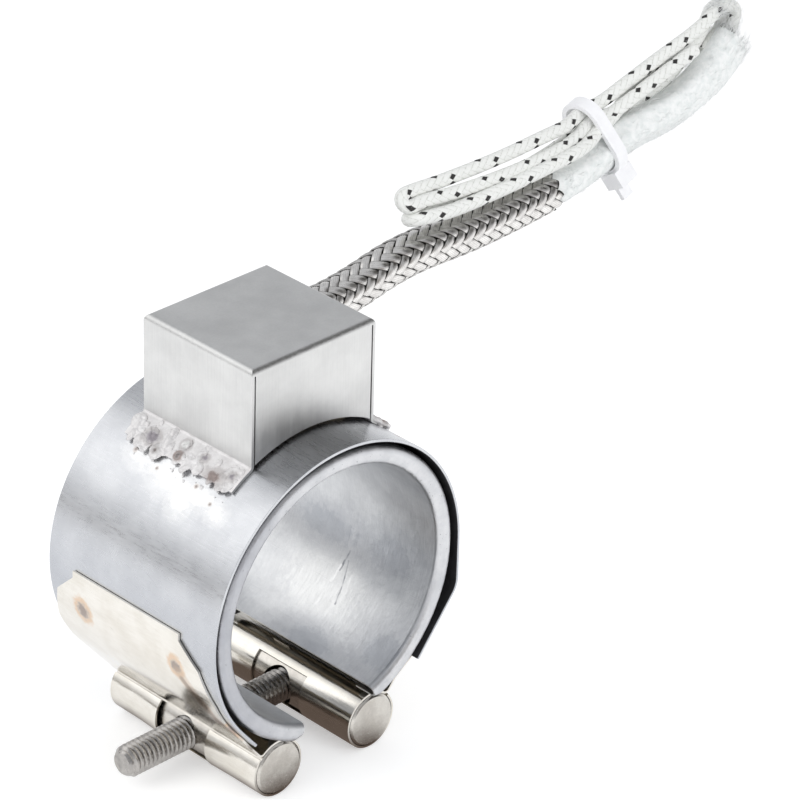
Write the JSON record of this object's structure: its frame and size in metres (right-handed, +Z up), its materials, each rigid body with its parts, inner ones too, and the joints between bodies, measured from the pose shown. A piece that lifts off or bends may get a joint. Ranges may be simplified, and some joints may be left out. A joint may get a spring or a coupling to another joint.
{
  "type": "mica nozzle band heater",
  "caption": "Clamp-on ring heater for a nozzle: folded core, outer sheet, strap clamp with barrel nuts and a screw, terminal box and braided leads",
  "frame": {"origin": "centre of the bore that goes over the nozzle", "axes": "+Y along the bore towards the back, +Z up to the terminal box, +X towards the leads and the clamp screw's head"},
  "size_m": [0.161, 0.042, 0.101],
  "materials": {
    "aluminised_sheet": "satin, rolled aluminised steel sheet with heat marks by the welds",
    "stainless_sheath": "satin stainless strip, rolled",
    "mica": "mica sheet",
    "resistance_ribbon": "bare nickel-chrome ribbon",
    "bright_strap": "bright nickel-plated strip, heat-tinted at the spot welds",
    "nickel_barrel": "nickel-plated turned rod",
    "screw_steel": "zinc-plated steel screw",
    "box_sheet": "satin stainless sheet with a vertical grain",
    "eyelet_steel": "nickel-plated steel",
    "nickel": "bare nickel strip",
    "crimp_brass": "plain brass",
    "lead_sleeving": "white braided glass fibre with black tracer flecks",
    "armour_braid": "woven stainless wire",
    "glass_sleeve": "white glass-fibre sleeve, frayed at its end",
    "tie_nylon": "milky white nylon"
  },
  "bodies": {
    "heater": {"outer_sheet": "aluminised_sheet", "core_sheath": "stainless_sheath", "mica_inner": "mica", "winding_former": "mica", "mica_outer": "mica", "insulating_pad": "mica", "resistance_ribbon": "resistance_ribbon", "right_strap": "bright_strap", "plain_barrel": "nickel_barrel", "terminal_box": "box_sheet", "outlet_eyelet": "eyelet_steel", "bus_strip_front": "nickel", "bus_strip_back": "nickel", "crimp_front": "crimp_brass", "crimp_back": "crimp_brass", "inner_lead_front": "lead_sleeving", "inner_lead_back": "lead_sleeving", "lead_hank": "lead_sleeving", "armour_braid": "armour_braid", "glass_sleeve": "glass_sleeve", "cable_tie": "tie_nylon"},
    "screw": {"clamp_screw": "screw_steel"},
    "closing_jaw": {"left_strap": "bright_strap", "threaded_barrel": "nickel_barrel"}
  },
  "joints": [
    {"name": "screw_turn", "type": "hinge", "parent": "heater", "child": "screw", "pos_m": [0, 0.0008, -0.0314], "axis": [-1, 0, 0], "range_deg": [-720, 1440]},
    {"name": "jaw_close", "type": "slide", "parent": "heater", "child": "closing_jaw", "axis": [1, 0, 0], "range_m": [-0.002, 0.004], "deforming": ["outer_sheet", "core_sheath", "mica_inner", "winding_former", "resistance_ribbon", "mica_outer", "bus_strip_front"]}
  ],
  "couplings": [
    {"joint": "screw_turn", "follows": "jaw_close", "rad_per_m": 6283.1}
  ]
}
